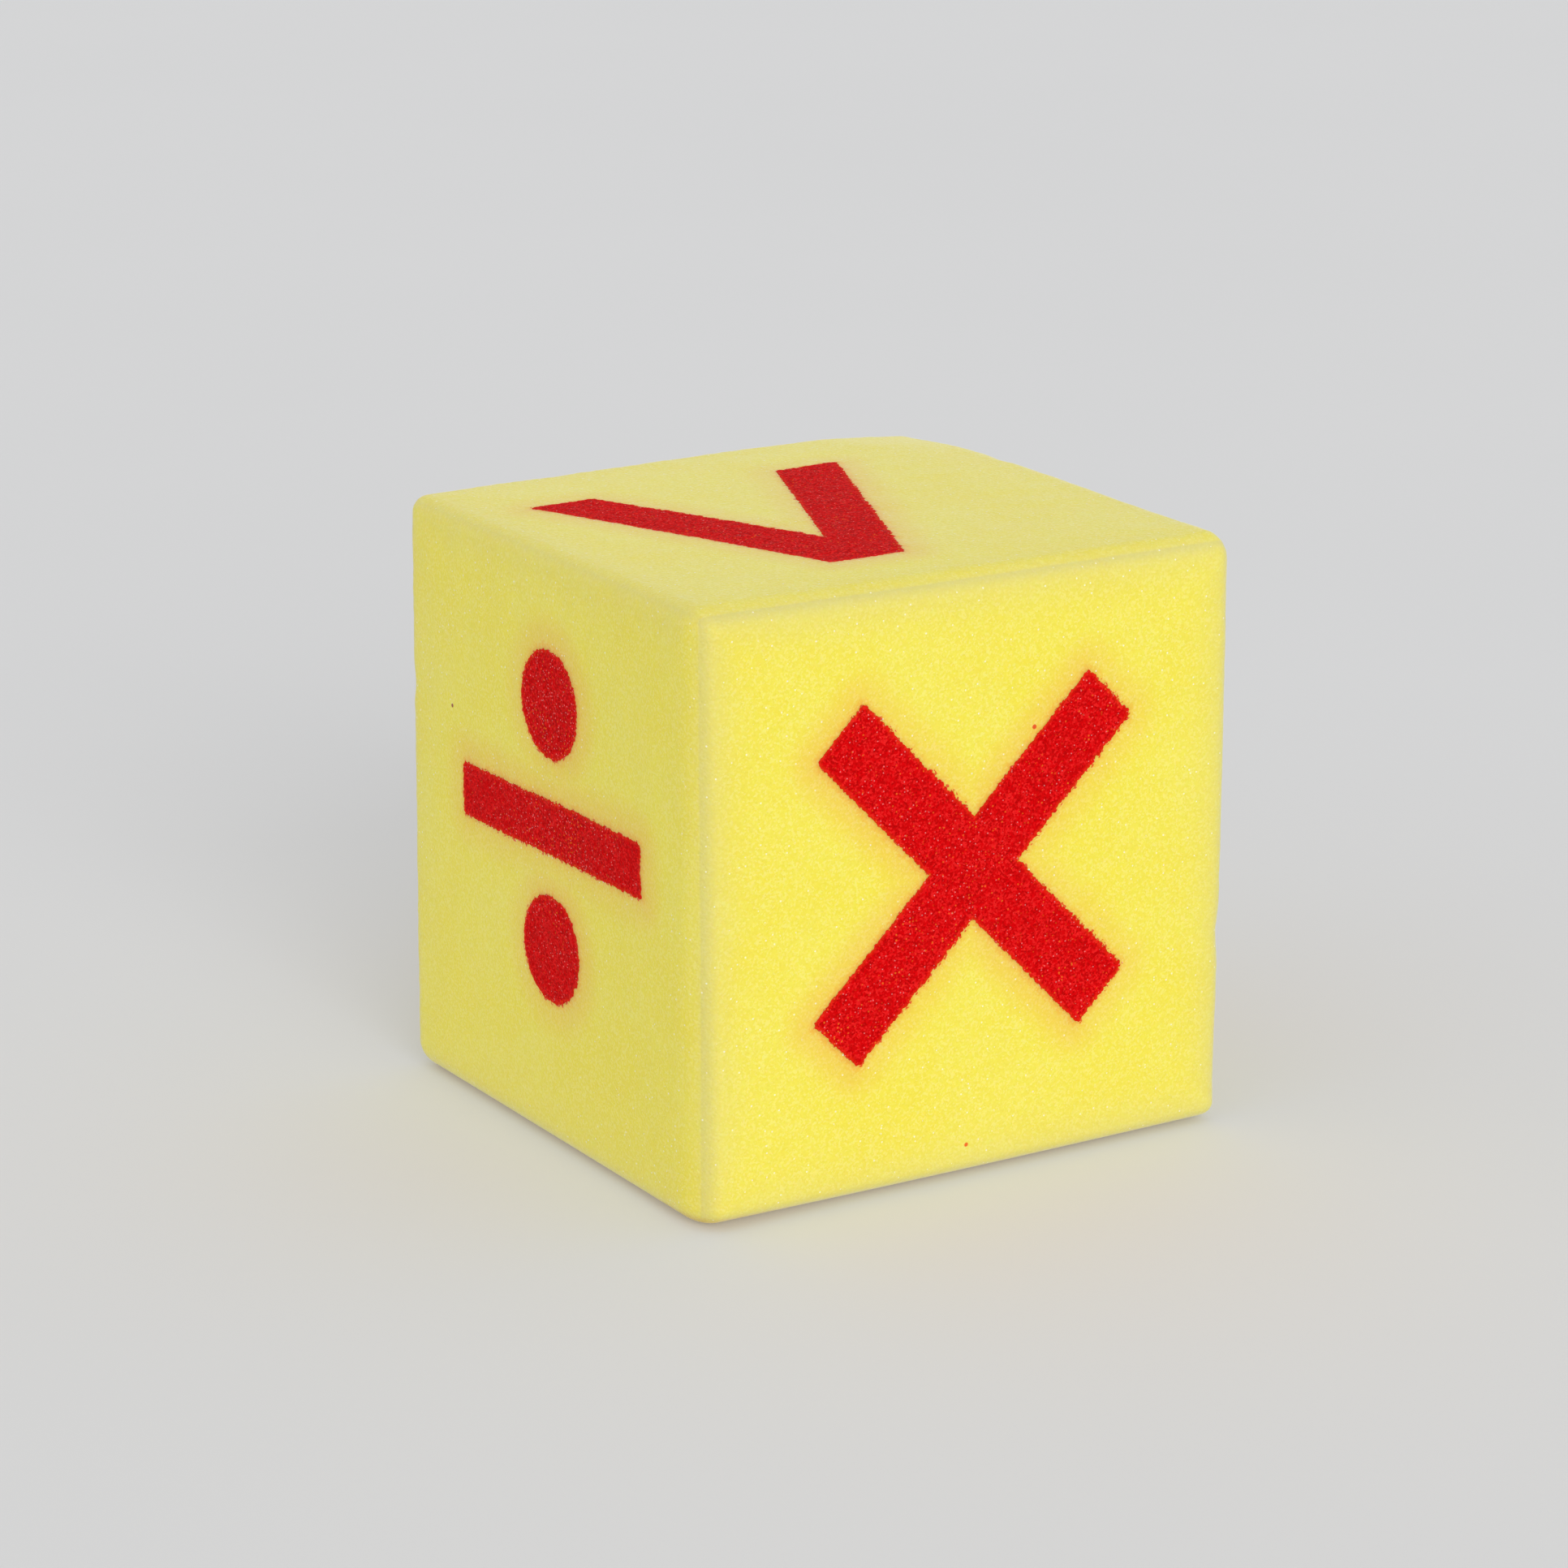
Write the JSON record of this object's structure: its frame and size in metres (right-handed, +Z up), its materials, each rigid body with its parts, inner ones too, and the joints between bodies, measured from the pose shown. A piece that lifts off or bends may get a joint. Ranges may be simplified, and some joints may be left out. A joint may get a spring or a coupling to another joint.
{
  "type": "giant foam die",
  "caption": "Large soft foam cube die for lawn games: yellow block with soft rounded edges and a red foam maths sign inlaid flush in each face. It rests on any face.",
  "frame": {"origin": "middle of the bottom face, on the surface the die rests on", "axes": "+Z up; -Y is the face with the multiply sign, -X the face with the divide sign, +Z the face with the less-than sign"},
  "size_m": [0.16, 0.154, 0.16],
  "materials": {
    "yellow_foam": "raw open-cell polyurethane foam, matt, cells about 0.9 mm, soft to the touch",
    "red_foam": "raw open-cell polyurethane foam dyed red right through, matt and grainy",
    "glue": "thin hot-melt adhesive film, milky and dull"
  },
  "bodies": {
    "root": {"foam_cube": "yellow_foam", "multiply_inlay": "red_foam", "divide_bar_inlay": "red_foam", "divide_upper_dot_inlay": "red_foam", "divide_lower_dot_inlay": "red_foam", "less_than_inlay": "red_foam", "plus_inlay": "red_foam", "minus_inlay": "red_foam", "equals_upper_bar_inlay": "red_foam", "equals_lower_bar_inlay": "red_foam", "multiply_glue_film": "glue", "divide_bar_glue_film": "glue", "divide_upper_dot_glue_film": "glue", "divide_lower_dot_glue_film": "glue", "less_than_glue_film": "glue", "plus_glue_film": "glue", "minus_glue_film": "glue", "equals_upper_bar_glue_film": "glue", "equals_lower_bar_glue_film": "glue"}
  },
  "joints": []
}
